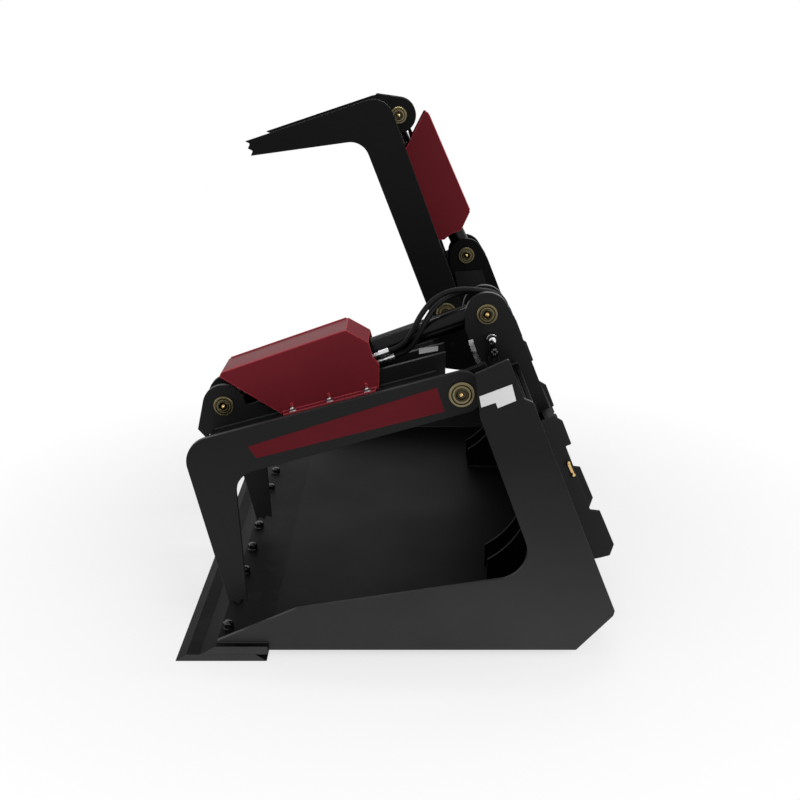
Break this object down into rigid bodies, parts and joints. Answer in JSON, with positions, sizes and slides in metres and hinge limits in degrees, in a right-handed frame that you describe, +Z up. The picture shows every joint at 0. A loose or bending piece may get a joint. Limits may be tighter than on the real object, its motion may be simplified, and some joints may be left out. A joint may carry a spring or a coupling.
{
  "type": "skid-steer scrap grapple bucket",
  "caption": "Wide steel bucket with paired hydraulic top grapples on towers, a bolt-on cutting edge and a loader coupler mount, for gripping scrap.",
  "frame": {"origin": "middle of the footprint, on the ground", "axes": "+X towards the loader, +Y across the width towards the opened grapple, +Z up"},
  "size_m": [1.1482, 1.716, 1.3381],
  "materials": {
    "black_coat": "satin black paint over welded plate",
    "edge_steel": "satin black paint over hard edge steel",
    "red_coat": "gloss dark red paint on bent sheet",
    "yellow_zinc": "turned steel with yellow zinc plating",
    "bright_zinc": "bright zinc plating",
    "chrome_rod": "ground hard chrome",
    "machined_steel": "turned steel",
    "hose_rubber": "matt hydraulic hose cover"
  },
  "bodies": {
    "bucket": {"base_edge": "edge_steel", "bolt_on_edge": "edge_steel", "bucket_shell": "black_coat", "corner_gussets": "black_coat", "cylinder_base_pins": "yellow_zinc", "edge_bolts": "bright_zinc", "mount_flanges": "black_coat", "mount_lips": "black_coat", "mount_plates": "black_coat", "mount_sides": "black_coat", "near_hose_lower": "hose_rubber", "near_hose_upper": "hose_rubber", "pivot_lugs": "black_coat", "pivot_pins": "yellow_zinc", "side_plate_far": "black_coat", "side_plate_near": "black_coat", "top_tube": "black_coat", "tower_ear_far_inner": "black_coat", "tower_ear_far_outer": "black_coat", "tower_ear_near_inner": "black_coat", "tower_ear_near_outer": "black_coat", "tower_fittings": "bright_zinc", "tower_webs": "black_coat", "wear_runners": "black_coat"},
    "near_arm": {"near_outer_plate": "black_coat", "near_inner_plate": "black_coat", "near_deck": "black_coat", "near_ribs": "black_coat", "near_bushes": "machined_steel", "near_guard": "red_coat", "near_guard_bolts": "bright_zinc", "near_rod_pin": "yellow_zinc"},
    "near_barrel": {"near_barrel": "black_coat", "near_barrel_lines": "bright_zinc", "near_gland": "black_coat"},
    "near_rod": {"near_rod": "chrome_rod", "near_piston": "machined_steel"},
    "near_rod_eye": {"near_rod_eye": "black_coat"},
    "far_arm": {"far_outer_plate": "black_coat", "far_inner_plate": "black_coat", "far_deck": "black_coat", "far_ribs": "black_coat", "far_bushes": "machined_steel", "far_guard": "red_coat", "far_guard_bolts": "bright_zinc", "far_rod_pin": "yellow_zinc"},
    "far_barrel": {"far_barrel": "black_coat", "far_gland": "black_coat"},
    "far_rod": {"far_rod": "chrome_rod", "far_piston": "machined_steel"},
    "far_rod_eye": {"far_rod_eye": "black_coat"}
  },
  "joints": [
    {"name": "near_grapple", "type": "hinge", "parent": "bucket", "child": "near_arm", "pos_m": [0.142, 0, 0.658], "axis": [0, 1, 0], "range_deg": [0, 85]},
    {"name": "near_barrel_swing", "type": "hinge", "parent": "bucket", "child": "near_barrel", "pos_m": [0.218, 0, 0.808], "axis": [0, 1, 0], "range_deg": [0, 83.19], "deforming": ["near_hose_lower", "near_hose_upper"]},
    {"name": "near_rod_slide", "type": "slide", "parent": "near_barrel", "child": "near_rod", "axis": [-0.9411, 0, -0.338], "range_m": [-0.22637, 0]},
    {"name": "near_rod_eye_turn", "type": "hinge", "parent": "near_arm", "child": "near_rod_eye", "pos_m": [-0.48151, 0, 0.55679], "axis": [0, 1, 0], "range_deg": [-1.82, 0]},
    {"name": "far_grapple", "type": "hinge", "parent": "bucket", "child": "far_arm", "pos_m": [0.142, 0, 0.658], "axis": [0, 1, 0], "range_deg": [-85, 0]},
    {"name": "far_barrel_swing", "type": "hinge", "parent": "bucket", "child": "far_barrel", "pos_m": [0.218, 0, 0.808], "axis": [0, 1, 0], "range_deg": [-83.19, 0]},
    {"name": "far_rod_slide", "type": "slide", "parent": "far_barrel", "child": "far_rod", "axis": [-0.4472, 0, 0.8944], "range_m": [0, 0.22637]},
    {"name": "far_rod_eye_turn", "type": "hinge", "parent": "far_arm", "child": "far_rod_eye", "pos_m": [-0.01317, 0, 1.27032], "axis": [0, 1, 0], "range_deg": [0, 1.82]}
  ],
  "couplings": [
    {"joint": "near_barrel_swing", "follows": "near_grapple", "ratio": 0.97869},
    {"joint": "near_rod_slide", "follows": "near_grapple", "m_per_rad": -0.15258},
    {"joint": "near_rod_eye_turn", "follows": "near_grapple", "ratio": -0.021313},
    {"joint": "far_barrel_swing", "follows": "far_grapple", "ratio": 0.97869},
    {"joint": "far_rod_slide", "follows": "far_grapple", "m_per_rad": -0.15258},
    {"joint": "far_rod_eye_turn", "follows": "far_grapple", "ratio": -0.021313}
  ]
}
